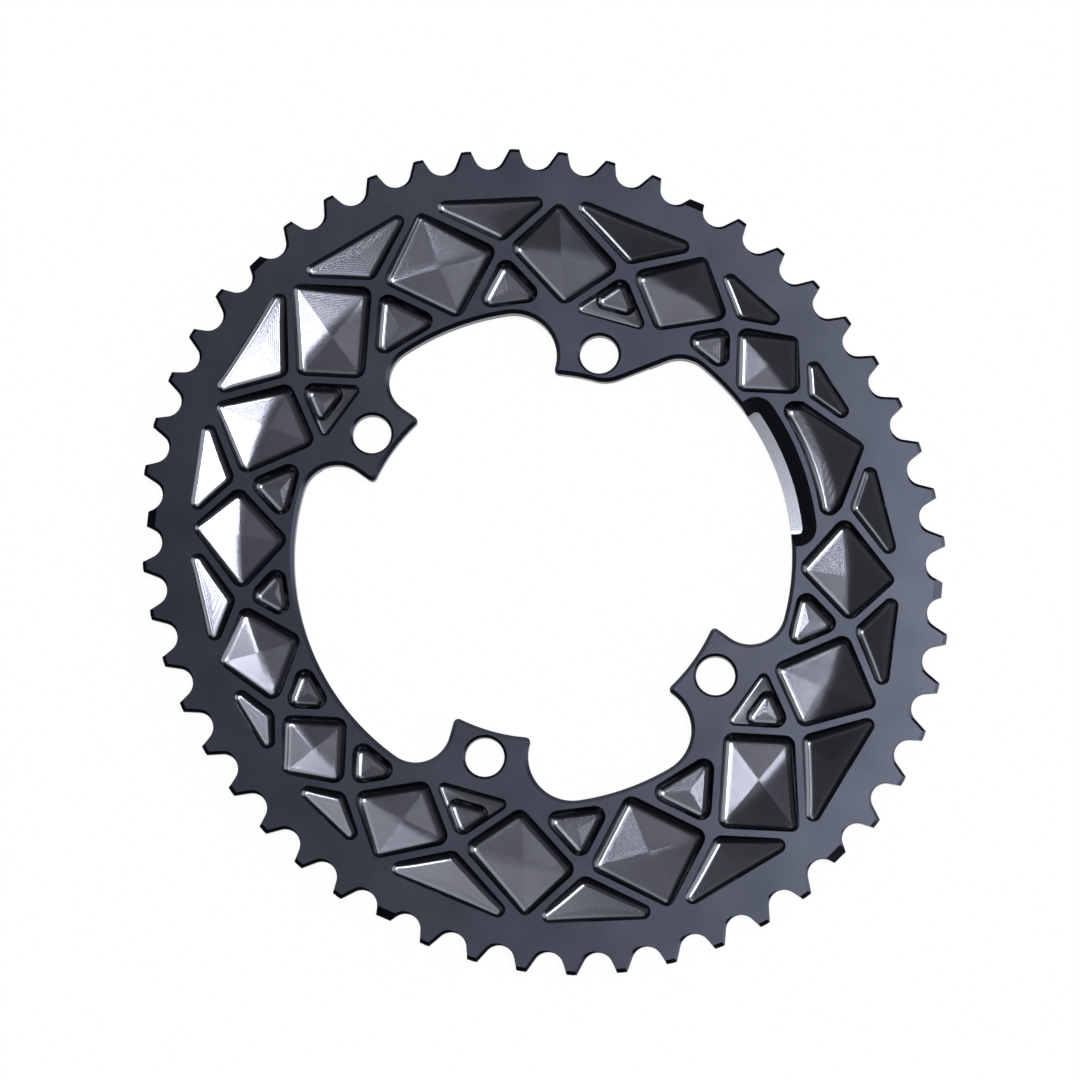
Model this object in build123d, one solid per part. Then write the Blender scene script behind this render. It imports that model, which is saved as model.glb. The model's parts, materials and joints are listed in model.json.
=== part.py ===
"""Oval bicycle chainring for a four-arm crank, milled from one aluminium plate.

The ring lies on its back. z = 0 is the flat back face and +Z is the front,
which shows on the bicycle. The origin is on the crank axis, and +X points
along the crank arm, in the middle of a wide gap between two bolt tabs.
"""
from build123d import *
import cmath
import math
import os

# Chain and pitch oval, in millimetres and degrees
TEETH = 52
CHAIN_PITCH = 12.7
ROLLER_DIAMETER = 7.75
ROLLER_CLEARANCE = 0.1
OVALITY = 0.05
OVAL_AXIS = 104.8

# Teeth
TOOTH_THICKNESS = 2.1
TOOTH_TIP = 1.4
GULLET_HALF_ANGLE = 69.0
TIP_BEVEL_WIDTH = 1.0
TIP_BEVEL_HEIGHT = 0.6

# Body section
THICKNESS = 4.0
WEB = 1.3
PLATE_EDGE = 6.0
BACK_FLAT_EDGE = 17.0
INNER_RADIUS = 64.8
OPENING_BEVEL = 1.0

# Bolt tabs, of which the first is trimmed beside the crank arm
BOLT_CIRCLE = 110.0
WIDE_GAP = 110.0
BOLT_HOLE = 10.1
BOLT_CHAMFER = 0.7
TAB_WIDTH = 20.5
TAB_REACH = 7.0
TAB_ROOT_FILLET = 9.0
TRIM_OFFSET = 2.8
TRIM_ANGLE = 37.0
TRIM_CORNER = 10.0

# Seats for the crank arms, in the back of the tabs
ARM_SEAT_DEPTH = 0.8
ARM_SEAT_MARGIN = 1.7
ARM_SEAT_HALF_ANGLE = 14.0

# Rib net and pockets
BAY_ANGLE = 22.5
RIB_WIDTH = 2.1
RIM_WIDTH = 11.4
RIM_NODE = 10.6
INNER_RIM = 2.3
TAB_NODE_DROP = 2.0
INNER_RISE = 0.2
FACET_DIP = 0.2
SHELF_DEPTH = 1.4
SHELF_DROP = 2.7
POCKET_CORNER = 2.6
WALL_DRAFT = 36.0
CHORD_HALF_ANGLE = 5.6

# Crank arm relief
RELIEF_WIDTH = 6.7
RELIEF_HALF_ANGLE = 18.0
RELIEF_LEDGE = 1.4
RELIEF_CORNER = 5.0
RELIEF_RIB = 1.3

# Shift ramps on the back of the teeth
RAMP_ANGLES = (32.0, 58.0)
RAMP_LENGTH = 24.0
RAMP_WIDTH = 12.0
RAMP_TILT = 2.5

# Length by which a cutter stands proud, and the most of a side that its corners may take
OVERCUT = 0.5
CORNER_SHARE = 0.95

# Rounds of the search that closes the chain on the oval
FIT_ROUNDS = 8

BOLT_RADIUS = BOLT_CIRCLE / 2
BOLT_ANGLES = (WIDE_GAP / 2, 180 - WIDE_GAP / 2, 180 + WIDE_GAP / 2, 360 - WIDE_GAP / 2)
TAB_END = BOLT_RADIUS - TAB_REACH
GULLET_RADIUS = ROLLER_DIAMETER / 2 + ROLLER_CLEARANCE
TOOTH_BACK = THICKNESS - TOOTH_THICKNESS
POCKET_DEPTH = THICKNESS - WEB
INNER_DEPTH = POCKET_DEPTH - INNER_RISE
WALL_ANGLE = math.radians(WALL_DRAFT)
DRAFT_SLOPE = math.tan(WALL_ANGLE)


def polar(radius, degrees):
    """A place in the plan as a complex number."""
    return cmath.rect(radius, math.radians(degrees))


def lift(place, height):
    """A place in the plan at a height."""
    return Vector(place.real, place.imag, height)


def plan_radius(point):
    """Distance of a point from the crank axis."""
    return math.hypot(point.X, point.Y)


def on_oval(mean_radius, degrees):
    """A place on the pitch oval of the given mean radius."""
    swell = OVALITY * math.cos(2 * math.radians(degrees - OVAL_AXIS))
    return polar(mean_radius * (1 + swell), degrees)


def fit_rollers():
    """Mean pitch radius and roller angles at which the chain closes round the oval."""
    mean_radius = CHAIN_PITCH / (2 * math.sin(math.pi / TEETH))
    for _ in range(FIT_ROUNDS):
        angles = [OVAL_AXIS]
        for _ in range(TEETH):
            here = on_oval(mean_radius, angles[-1])
            step = math.degrees(CHAIN_PITCH / abs(here))
            for _ in range(FIT_ROUNDS):
                step *= CHAIN_PITCH / abs(on_oval(mean_radius, angles[-1] + step) - here)
            angles.append(angles[-1] + step)
        mean_radius *= (angles[-1] - OVAL_AXIS) / 360
    return mean_radius, angles[:-1]


MEAN_RADIUS, ROLLER_ANGLES = fit_rollers()


def pitch_radius(degrees):
    """Radius of the pitch oval in a direction."""
    return abs(on_oval(MEAN_RADIUS, degrees))


def gullet(index, tip_drop):
    """Points of one roller seat and its two flanks, from left tip to right tip."""
    before, here, after = (
        on_oval(MEAN_RADIUS, ROLLER_ANGLES[(index + step) % TEETH]) for step in (-1, 0, 1)
    )
    along = (after - before) / abs(after - before)
    outward = -1j * along
    half = math.radians(GULLET_HALF_ANGLE)
    flank = (TOOTH_TIP - tip_drop + GULLET_RADIUS * math.cos(half)) / math.sin(half)
    ends = {}
    for side in (-1, 1):
        foot = here + GULLET_RADIUS * (side * math.sin(half) * along - math.cos(half) * outward)
        tip = foot + flank * (math.sin(half) * outward + side * math.cos(half) * along)
        ends[side] = (foot, tip)
    return ends[-1][1], ends[-1][0], here - GULLET_RADIUS * outward, ends[1][0], ends[1][1]


def tooth_wire(tip_drop, height):
    """Outline of all teeth, with their tips lowered by a drop."""
    edges = []
    for index in range(TEETH):
        left_tip, left_foot, root, right_foot, right_tip = (
            lift(place, height) for place in gullet(index, tip_drop)
        )
        next_tip = lift(gullet((index + 1) % TEETH, tip_drop)[0], height)
        edges.append(Edge.make_line(left_tip, left_foot))
        edges.append(Edge.make_three_point_arc(left_foot, root, right_foot))
        edges.append(Edge.make_line(right_foot, right_tip))
        edges.append(Edge.make_line(right_tip, next_tip))
    return Wire(edges)


def blank():
    """Toothed front plate, bevelled at the tips, on a round body with a sloping back."""
    plate = Solid.make_loft(
        [
            tooth_wire(TIP_BEVEL_WIDTH, TOOTH_BACK),
            tooth_wire(0, TOOTH_BACK + TIP_BEVEL_HEIGHT),
            tooth_wire(0, THICKNESS - TIP_BEVEL_HEIGHT),
            tooth_wire(TIP_BEVEL_WIDTH, THICKNESS),
        ],
        ruled=True,
    )
    narrow = pitch_radius(OVAL_AXIS + 90)
    slope = Cone(narrow - BACK_FLAT_EDGE, narrow - PLATE_EDGE, TOOTH_BACK)
    return plate + Pos(0, 0, TOOTH_BACK / 2) * slope


def tab(angle, trimmed):
    """Plan of one bolt tab, drawn on the +X axis and turned to its bolt."""
    start = TAB_END - TAB_REACH
    end = INNER_RADIUS + TAB_REACH
    half = TAB_WIDTH / 2
    slant = 1 / math.tan(math.radians(TRIM_ANGLE))
    low = [-half, -half]
    if trimmed:
        low = [-TRIM_OFFSET - slant * (radius - TAB_END) for radius in (start, end)]
    corners = [(start, half), (start, low[0]), (end, low[1]), (end, half)]
    return Rot(0, 0, angle) * make_face(Polyline(*corners, close=True)) - Circle(TAB_END)


def tab_root_room():
    """Largest root fillet inside the inner circle that leaves a tab's flank room for its bevelled end."""
    half = TAB_WIDTH / 2
    start = math.sqrt(TAB_END**2 - half**2) + OPENING_BEVEL
    reach = (INNER_RADIUS**2 - half**2 - start**2) / (2 * INNER_RADIUS + TAB_WIDTH)
    return CORNER_SHARE * reach


def opening():
    """Plan of the central opening, a circle with the four bolt tabs left standing in it."""
    plan = Sketch() + Circle(INNER_RADIUS)
    for angle in BOLT_ANGLES:
        plan -= tab(angle, angle == BOLT_ANGLES[0])
    roots = [v for v in plan.vertices() if plan_radius(v) > (BOLT_RADIUS + INNER_RADIUS) / 2]
    plan = fillet(roots, min(TAB_ROOT_FILLET, tab_root_room()))
    trim = lift(polar(1, BOLT_ANGLES[0]) * complex(TAB_END, -TRIM_OFFSET), 0)
    return fillet(plan.vertices().sort_by_distance(trim)[0], TRIM_CORNER)


def open_centre(body):
    """The body with its central opening, bevelled round the front edge."""
    body -= Pos(0, 0, -OVERCUT) * extrude(opening(), THICKNESS + 2 * OVERCUT)
    front = body.edges().filter_by_position(Axis.Z, THICKNESS, THICKNESS)
    rim = [edge for edge in front if plan_radius(edge @ 0.5) < INNER_RADIUS + OVERCUT]
    return chamfer(rim, OPENING_BEVEL)


def bolt_cutters():
    """Bolt holes with a chamfer at the front."""
    cutters = []
    for angle in BOLT_ANGLES:
        place = polar(BOLT_RADIUS, angle)
        hole = Cylinder(BOLT_HOLE / 2, THICKNESS + 2 * OVERCUT)
        cutters.append(Pos(lift(place, THICKNESS / 2)) * hole)
        mouth = BOLT_CHAMFER + OVERCUT
        cone = Cone(BOLT_HOLE / 2, BOLT_HOLE / 2 + mouth, mouth)
        cutters.append(Pos(lift(place, THICKNESS - BOLT_CHAMFER + mouth / 2)) * cone)
    return cutters


def sector(inner, outer, angle, half_angle):
    """Plan of a ring sector."""
    wide = 2 * outer
    edges = [(0, 0), (wide, half_angle), (wide, -half_angle)]
    wedge = make_face(Polyline(*(lift(polar(r, angle + a), 0) for r, a in edges), close=True))
    return (Sketch() + Circle(outer) - Circle(inner)) & wedge


def arm_seat_cutters():
    """Recesses in the back in which the four crank arms seat."""
    cutters = []
    for angle in BOLT_ANGLES:
        plan = sector(TAB_END - TAB_REACH, INNER_RADIUS + ARM_SEAT_MARGIN, angle, ARM_SEAT_HALF_ANGLE)
        cutters.append(Pos(0, 0, -OVERCUT) * extrude(plan, ARM_SEAT_DEPTH + OVERCUT))
    return cutters


def meet(first, second):
    """Place where two lines cross, each given as a place and a direction."""
    (place, way), (other, other_way) = first, second
    cross = (way.conjugate() * other_way).imag
    return place + way * ((other - place).conjugate() * other_way).imag / cross


def corners_inside(sides):
    """Corners of a plan whose sides run anticlockwise, each moved in by its own inset."""
    lines = []
    for start, end, inset in sides:
        way = (end - start) / abs(end - start)
        lines.append((start + 1j * way * inset, way))
    return [meet(lines[i - 1], lines[i]) for i in range(len(lines))]


def corner_room(places):
    """Largest radius for which the rounded corners of a plan leave some of every side."""
    following = places[1:] + places[:1]
    setbacks = []
    for before, here, after in zip(places[-1:] + places[:-1], places, following):
        setbacks.append(1 / math.tan(abs(cmath.phase((before - here) / (after - here))) / 2))
    spans = [
        abs(after - here) / (setback + next_setback)
        for here, after, setback, next_setback in zip(
            places, following, setbacks, setbacks[1:] + setbacks[:1]
        )
    ]
    return CORNER_SHARE * min(spans)


def pocket(sides, depths, middle_depth, corner=POCKET_CORNER):
    """Cutter with round corners, drafted walls and flat floor facets that meet at its middle.

    A corner where the floor runs out at the front face stays sharp.
    """
    corners = corners_inside(sides)
    rounding = min(corner, corner_room(corners))
    radii = [rounding if depth else 0 for depth in depths]
    outline = [lift(place, THICKNESS + OVERCUT) for place in corners]
    plan = make_face(FilletPolyline(*outline, radius=radii, close=True))
    cutter = extrude(plan, max(*depths, middle_depth) + OVERCUT, dir=(0, 0, -1))
    middle = lift(sum(corners) / len(corners), THICKNESS - middle_depth)
    edge = [lift(place, THICKNESS) for place in corners]
    floor = [lift(place, THICKNESS - depth) for place, depth in zip(corners, depths)]
    for i in range(len(corners)):
        along = edge[i] - edge[i - 1]
        inward = Vector(0, 0, 1).cross(along).normalized()
        wall = inward * math.cos(WALL_ANGLE) + Vector(0, 0, math.sin(WALL_ANGLE))
        facet = (floor[i] - floor[i - 1]).cross(middle - floor[i])
        cutter = split(cutter, Plane(edge[i], z_dir=wall), keep=Keep.TOP)
        cutter = split(cutter, Plane(middle, z_dir=facet), keep=Keep.TOP)
    return cutter


def crossing_angles():
    """Angles of the rib crossings, spaced evenly from bolt to bolt."""
    angles = []
    for start, end in zip(BOLT_ANGLES, BOLT_ANGLES[1:] + (BOLT_ANGLES[0] + 360,)):
        bays = round((end - start) / BAY_ANGLE)
        angles += [start + (end - start) * i / bays for i in range(bays)]
    return angles


CROSSING_ANGLES = crossing_angles()
BAYS = len(CROSSING_ANGLES)


def crossing_angle(index):
    """Angle of a rib crossing, counted on past a full turn."""
    turns, index = divmod(index, BAYS)
    return CROSSING_ANGLES[index] + 360 * turns


def bay_angle(index):
    """Angle of the middle of the bay that follows a crossing."""
    return (crossing_angle(index) + crossing_angle(index + 1)) / 2


def at_bolt(index):
    """Whether a rib crossing stands over a bolt tab."""
    return CROSSING_ANGLES[index % BAYS] in BOLT_ANGLES


def over_arm(angle):
    """Whether an angle lies within the crank arm relief."""
    return abs(cmath.phase(polar(1, angle))) < math.radians(RELIEF_HALF_ANGLE)


def crossing(index):
    """Rib crossing, midway along the pocket floors and lower beside a bolt tab."""
    angle = crossing_angle(index)
    floor_edge = INNER_RADIUS + INNER_RIM + POCKET_DEPTH * DRAFT_SLOPE
    middle = (pitch_radius(angle) - RIM_WIDTH + floor_edge) / 2
    return polar(middle - TAB_NODE_DROP * at_bolt(index), angle)


def outer_node(index):
    """Place at the rim where the two ribs round a bay meet."""
    return polar(pitch_radius(bay_angle(index)) - RIM_NODE, bay_angle(index))


def inner_node(index):
    """Place at the opening where the two ribs round a bay meet."""
    return polar(INNER_RADIUS, bay_angle(index))


def rib(start, end):
    """Side of a pocket that runs along the middle line of a rib."""
    return start, end, RIB_WIDTH / 2


def inner_base(index, drop):
    """Side of a pocket along the inner rim, below a crossing."""
    angle = crossing_angle(index)
    radius = INNER_RADIUS + INNER_RIM - drop
    return polar(radius, angle + CHORD_HALF_ANGLE), polar(radius, angle - CHORD_HALF_ANGLE), 0


def rim_base(index):
    """Side of a pocket along the rim, above a crossing."""
    angle = crossing_angle(index)
    ends = [angle - CHORD_HALF_ANGLE, angle + CHORD_HALF_ANGLE]
    start, end = (polar(pitch_radius(a) - RIM_WIDTH, a) for a in ends)
    return start, end, 0


def diamond(index):
    """Pocket of one bay, whose floor climbs to the front face at the rim."""
    ring = [outer_node(index), crossing(index + 1), inner_node(index), crossing(index)]
    sides = [rib(start, end) for start, end in zip(ring, ring[1:] + ring[:1])]
    depths = [0, POCKET_DEPTH, INNER_DEPTH, POCKET_DEPTH]
    return pocket(sides, depths, POCKET_DEPTH + FACET_DIP)


def arm_pocket(index):
    """Wide pocket over the crank arm, with a thin curved rib along the relief."""
    before, after = inner_node(index - 1), inner_node(index + 1)
    sides = [
        rib(outer_node(index), crossing(index + 1)),
        rib(crossing(index + 1), after),
        (after, before, 0),
        rib(before, crossing(index)),
        rib(crossing(index), outer_node(index)),
    ]
    deepest = POCKET_DEPTH + FACET_DIP
    cutter = pocket(sides, [0, POCKET_DEPTH, INNER_DEPTH, INNER_DEPTH, POCKET_DEPTH], deepest)
    edge = INNER_RADIUS + RELIEF_WIDTH + RELIEF_RIB
    wall = Cone(edge + deepest * DRAFT_SLOPE, edge - OVERCUT * DRAFT_SLOPE, deepest + OVERCUT)
    return cutter - Pos(0, 0, THICKNESS + (OVERCUT - deepest) / 2) * wall


def outer_triangle(index):
    """Pocket between a crossing and the rim, whose floor runs out at the rim."""
    place = crossing(index)
    sides = [rib(place, outer_node(index - 1)), rim_base(index), rib(outer_node(index), place)]
    return pocket(sides, [POCKET_DEPTH, 0, 0], POCKET_DEPTH / len(sides) + FACET_DIP)


def inner_triangle(index):
    """Pocket between a crossing and the inner rim."""
    place = crossing(index)
    base = inner_base(index, 0)
    sides = [rib(place, inner_node(index)), base, rib(inner_node(index - 1), place)]
    return pocket(sides, [POCKET_DEPTH, INNER_DEPTH, INNER_DEPTH], POCKET_DEPTH)


def tab_shelf(index):
    """Shallow step that carries an inner triangle on towards a bolt tab."""
    place = crossing(index)
    in_triangle, past_it, _ = inner_base(index, -2 * POCKET_DEPTH * DRAFT_SLOPE)
    sides = [
        rib(place, inner_node(index)),
        inner_base(index, SHELF_DROP),
        rib(inner_node(index - 1), place),
        (past_it, in_triangle, 0),
    ]
    return pocket(sides, [SHELF_DEPTH] * len(sides), SHELF_DEPTH, corner=0)


def pocket_cutters():
    """Every pocket of the rib net."""
    cutters = []
    for index in range(BAYS):
        bay = arm_pocket if over_arm(bay_angle(index)) else diamond
        cutters.append(bay(index))
        cutters.append(outer_triangle(index))
        if not over_arm(crossing_angle(index)):
            cutters.append(inner_triangle(index))
        if at_bolt(index):
            cutters.append(tab_shelf(index))
    return cutters


def relief_cutter():
    """Step in the front that clears the crank arm, with the pockets' draft on its wall."""
    inner = INNER_RADIUS / 2
    outer = INNER_RADIUS + RELIEF_WIDTH + OVERCUT * DRAFT_SLOPE
    plan = sector(inner, outer, 0, RELIEF_HALF_ANGLE)
    plan = fillet([v for v in plan.vertices() if plan_radius(v) > INNER_RADIUS], RELIEF_CORNER)
    facing_down = Plane((0, 0, THICKNESS + OVERCUT), x_dir=(1, 0, 0), z_dir=(0, 0, -1))
    depth = THICKNESS - RELIEF_LEDGE
    return extrude(facing_down * plan, depth + OVERCUT, taper=WALL_DRAFT)


def ramp_cutters():
    """Shallow ramps behind the teeth that lift the chain, the same on both halves of the oval."""
    cutters = []
    for turn in (0, 180):
        for ramp_angle in RAMP_ANGLES:
            angle = OVAL_AXIS + ramp_angle + turn
            ramp = Box(RAMP_WIDTH, RAMP_LENGTH, TOOTH_BACK)
            place = Pos(pitch_radius(angle), 0, TOOTH_BACK / 2) * Rot(RAMP_TILT, 0, 0)
            cutters.append(Rot(0, 0, angle) * place * ramp)
    return cutters


def chainring():
    """The finished ring."""
    cutters = [*bolt_cutters(), *arm_seat_cutters(), *pocket_cutters(), *ramp_cutters()]
    return open_centre(blank()) - [*cutters, relief_cutter()]


if __name__ == "__main__":
    os.makedirs("parts", exist_ok=True)
    export_step(chainring(), "parts/chainring.step")
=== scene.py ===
# %% [markdown]
# # An oval chainring, milled from one plate
#
# The ring is a single piece of aluminium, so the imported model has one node. It gives the size, the
# place and the bolt holes. This lesson builds the same ring again with the fine forms that a milling
# cutter leaves: bevelled teeth, pockets with coved walls, and sloping floors with tool marks.
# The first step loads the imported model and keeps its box.

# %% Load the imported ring
import cmath
import json
import math

import bmesh
import bpy
import numpy as np
from mathutils import Matrix, Vector
from mathutils.geometry import delaunay_2d_cdt


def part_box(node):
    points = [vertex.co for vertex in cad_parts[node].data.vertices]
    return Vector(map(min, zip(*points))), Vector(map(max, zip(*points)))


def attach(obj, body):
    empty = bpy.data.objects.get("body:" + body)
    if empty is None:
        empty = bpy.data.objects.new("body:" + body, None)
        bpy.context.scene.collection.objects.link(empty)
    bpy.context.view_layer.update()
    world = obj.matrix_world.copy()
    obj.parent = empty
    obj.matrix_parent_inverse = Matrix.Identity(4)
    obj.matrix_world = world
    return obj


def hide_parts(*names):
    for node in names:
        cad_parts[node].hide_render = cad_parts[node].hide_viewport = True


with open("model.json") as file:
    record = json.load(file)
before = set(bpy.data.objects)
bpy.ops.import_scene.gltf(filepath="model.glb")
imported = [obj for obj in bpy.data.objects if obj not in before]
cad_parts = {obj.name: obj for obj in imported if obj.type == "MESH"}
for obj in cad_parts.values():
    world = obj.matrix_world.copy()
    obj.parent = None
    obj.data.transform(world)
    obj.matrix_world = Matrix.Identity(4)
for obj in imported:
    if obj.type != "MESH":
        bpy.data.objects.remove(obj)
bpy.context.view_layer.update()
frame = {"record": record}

MM = 0.001
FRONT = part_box("chainring")[1].z
print("ring loaded, front face at", round(FRONT / MM, 3), "mm")

# %% [markdown]
# ## The pitch oval
#
# A chain has one pitch, so the rollers stand at equal steps on an oval, not at equal angles. The
# search below walks round the oval one pitch at a time and adjusts its size until the chain closes.
# Places in the plan are complex numbers, because a turn is then just a product.

# %% Pitch oval
TEETH = 52
CHAIN_PITCH = 12.7 * MM
OVALITY = 0.05
OVAL_AXIS = math.radians(104.8)
FIT_ROUNDS = 8


def on_oval(mean_radius, angle):
    """A place on the pitch oval of the given mean radius."""
    return cmath.rect(mean_radius * (1 + OVALITY * math.cos(2 * (angle - OVAL_AXIS))), angle)


def fit_rollers():
    """Mean pitch radius and roller angles at which the chain closes round the oval."""
    mean_radius = CHAIN_PITCH / (2 * math.sin(math.pi / TEETH))
    for _ in range(FIT_ROUNDS):
        angles = [OVAL_AXIS]
        for _ in range(TEETH):
            here = on_oval(mean_radius, angles[-1])
            step = CHAIN_PITCH / abs(here)
            for _ in range(FIT_ROUNDS):
                step *= CHAIN_PITCH / abs(on_oval(mean_radius, angles[-1] + step) - here)
            angles.append(angles[-1] + step)
        mean_radius *= (angles[-1] - OVAL_AXIS) / math.tau
    return mean_radius, angles[:-1]


MEAN_RADIUS, ROLLER_ANGLES = fit_rollers()


def pitch_radius(angle):
    """Radius of the pitch oval in a direction."""
    return abs(on_oval(MEAN_RADIUS, angle))


print("mean pitch radius", round(MEAN_RADIUS / MM, 3), "mm for", TEETH, "teeth")

# %% [markdown]
# ## Nodes written as expressions
#
# Geometry Nodes and shaders share their Math nodes. They could be placed and linked one by one, but
# a formula is hard to see in that. So one class stands for a node tree and adds any node to it, and
# another stands for a socket and turns Python arithmetic into Math nodes. A formula reads as a
# formula in the script and still ends up as nodes that can be looked at in Blender.

# %% Sockets and trees
class Socket:
    """An output socket that takes part in arithmetic."""

    def __init__(self, graph, socket):
        self.graph = graph
        self.socket = socket

    def math(self, operation, *others):
        """A Math node that takes this socket first."""
        return self.graph.math(operation, self, *others)

    def __add__(self, other):
        return self.graph.math("ADD", self, other)

    def __sub__(self, other):
        return self.graph.math("SUBTRACT", self, other)

    def __rsub__(self, other):
        return self.graph.math("SUBTRACT", other, self)

    def __mul__(self, other):
        return self.graph.math("MULTIPLY", self, other)

    def __truediv__(self, other):
        return self.graph.math("DIVIDE", self, other)

    def __rtruediv__(self, other):
        return self.graph.math("DIVIDE", other, self)

    __radd__ = __add__
    __rmul__ = __mul__


class Graph:
    """A node tree that grows by one node at a time."""

    def __init__(self, tree):
        self.tree = tree

    def node(self, kind, settings=None, inputs=None):
        """Adds a node, sets it up, fills its sockets and returns its outputs."""
        made = self.tree.nodes.new(kind)
        for name, value in (settings or {}).items():
            setattr(made, name, value)
        sockets = [socket for socket in made.inputs if socket.enabled]
        for key, value in (inputs or {}).items():
            socket = sockets[key] if isinstance(key, int) else made.inputs[key]
            if isinstance(value, Socket):
                self.tree.links.new(value.socket, socket)
            else:
                socket.default_value = value
        return [Socket(self, socket) for socket in made.outputs if socket.enabled]

    def output(self, name, kind, settings=None, inputs=None):
        """Adds a node and returns the output with the given name."""
        return next(o for o in self.node(kind, settings, inputs) if o.socket.name == name)

    def math(self, operation, *values):
        """A Math node."""
        return self.node("ShaderNodeMath", {"operation": operation}, dict(enumerate(values)))[0]

    def vector_math(self, operation, *values):
        """A Vector Math node."""
        return self.node("ShaderNodeVectorMath", {"operation": operation}, dict(enumerate(values)))[0]

    def attribute(self, name, kind="FLOAT"):
        """A named attribute as a field."""
        return self.node("GeometryNodeInputNamedAttribute", {"data_type": kind}, {"Name": name})[0]

    def store(self, geometry, name, value, kind="FLOAT"):
        """Geometry with a field stored on its points under a name."""
        settings = {"data_type": kind, "domain": "POINT"}
        inputs = {"Geometry": geometry, "Name": name, "Value": value}
        return self.node("GeometryNodeStoreNamedAttribute", settings, inputs)[0]


print("socket arithmetic ready")

# %% Pieces and their geometry trees
def geometry_tree(name, inputs):
    """A geometry tree with named inputs, and the sockets that carry them."""
    tree = bpy.data.node_groups.new(name, "GeometryNodeTree")
    tree.interface.new_socket("Geometry", in_out="INPUT", socket_type="NodeSocketGeometry")
    for label, kind in inputs:
        tree.interface.new_socket(label, in_out="INPUT", socket_type=kind)
    tree.interface.new_socket("Geometry", in_out="OUTPUT", socket_type="NodeSocketGeometry")
    graph = Graph(tree)
    outputs = graph.node("NodeGroupInput")
    return graph, {output.socket.name: output for output in outputs}


def finish_tree(graph, geometry, material):
    """Ends a tree in plain geometry with its material."""
    plain = graph.node("GeometryNodeRealizeInstances", {}, {"Geometry": geometry})[0]
    dressed = graph.node("GeometryNodeSetMaterial", {}, {"Geometry": plain, "Material": material})[0]
    graph.node("NodeGroupOutput", {}, {0: dressed})
    return graph.tree


def new_piece(name, vertices, edges=(), faces=()):
    """A linked mesh object at the origin."""
    mesh = bpy.data.meshes.new(name)
    mesh.from_pydata([tuple(v) for v in vertices], edges, faces)
    piece = bpy.data.objects.new(name, mesh)
    bpy.context.scene.collection.objects.link(piece)
    return piece


def run_tree(piece, tree, values):
    """Runs a geometry tree on a piece and keeps the result as its plain mesh."""
    modifier = piece.modifiers.new(tree.name, "NODES")
    modifier.node_group = tree
    identifiers = {
        item.name: item.identifier for item in tree.interface.items_tree if item.in_out == "INPUT"
    }
    for label, value in values.items():
        modifier[identifiers[label]] = value
    bake(piece)


def bake(piece):
    """Turns a piece with modifiers into its plain mesh."""
    graph = bpy.context.evaluated_depsgraph_get()
    mesh = bpy.data.meshes.new_from_object(
        piece.evaluated_get(graph), preserve_all_data_layers=True, depsgraph=graph
    )
    piece.modifiers.clear()
    piece.data = mesh


def plan_point(place, height):
    """A place in the plan at a height."""
    return Vector((place.real, place.imag, height))


print("helpers for pieces ready")

# %% [markdown]
# ## Two finishes
#
# The whole ring is anodised in one dark grey-blue. The flat faces were blasted first, so they are
# satin. The pockets were milled last and are glossier, with fine passes of the cutter that run
# parallel to each wall. One material with a mask would do, but two materials let every face know
# from the start how it was cut. They are made here empty and get their nodes further down.

# %% Empty materials
SATIN = bpy.data.materials.new("anodised_satin")
MILLED = bpy.data.materials.new("anodised_milled")
SATIN_SLOT = 0
MILLED_SLOT = 1
print("materials", SATIN.name, MILLED.name)

# %% [markdown]
# ## Teeth
#
# Every gullet is the same cut, so one gullet is modelled, from the middle of one tooth to the middle
# of the next, and Geometry Nodes repeat it on the rollers' places. An Array modifier would not do,
# because the steps follow the oval. One flank of a tooth is steep. The other leans and has a wide
# chamfer, which helps the chain to drop in, and the tip is bevelled too. Neighbours meet in the
# middle of a tooth, and Merge by Distance welds them there.

# %% Outline of a gullet
ROLLER_RADIUS = 7.75 * MM / 2
ROLLER_CLEARANCE = 0.1 * MM
GULLET_RADIUS = ROLLER_RADIUS + ROLLER_CLEARANCE
STEEP_ANGLE = math.radians(69)
LEANING_ANGLE = math.radians(59)
TOOTH_TIP = 1.4 * MM
GULLET_STEPS = 16
BEVEL_FADE = 2.0
BEVEL_START = 0.8


def smooth(share):
    """A share from 0 to 1 that starts and ends gently."""
    share = min(max(share, 0), 1)
    return share * share * (3 - 2 * share)


def meet(first, second):
    """Place where two lines cross, each given as a place and a direction."""
    (place, way), (other, other_way) = first, second
    cross = (way.conjugate() * other_way).imag
    return place + way * ((other - place).conjugate() * other_way).imag / cross


def gullet_outline(tip_bevel, left_bevel, right_bevel):
    """Outline of a gullet round its roller, set back by a bevel at the tips and on each flank."""
    half_turn = math.pi / TEETH
    middle = cmath.rect(CHAIN_PITCH / 2, -half_turn)
    mirror = complex(-middle.real, middle.imag)
    upright = cmath.rect(1, math.pi / 2 - half_turn)
    tip_line = (complex(0, TOOTH_TIP - tip_bevel), 1 + 0j)
    right_way = cmath.rect(1, LEANING_ANGLE)
    right = ((GULLET_RADIUS + right_bevel) * right_way * -1j, right_way)
    left_way = cmath.rect(1, math.pi - STEEP_ANGLE)
    left = ((GULLET_RADIUS + left_bevel) * left_way * 1j, left_way)
    points = [meet((mirror, complex(-upright.real, upright.imag)), tip_line), meet(left, tip_line)]
    for step in range(GULLET_STEPS + 1):
        share = step / GULLET_STEPS
        bevel = left_bevel + (right_bevel - left_bevel) * smooth(BEVEL_FADE * share - BEVEL_START)
        angle = (STEEP_ANGLE + LEANING_ANGLE) * share - STEEP_ANGLE - math.pi / 2
        points.append(cmath.rect(GULLET_RADIUS + bevel, angle))
    points += [meet(right, tip_line), meet((middle, upright), tip_line)]
    return points


print("gullet outline with", len(gullet_outline(0, 0, 0)), "points")

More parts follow.
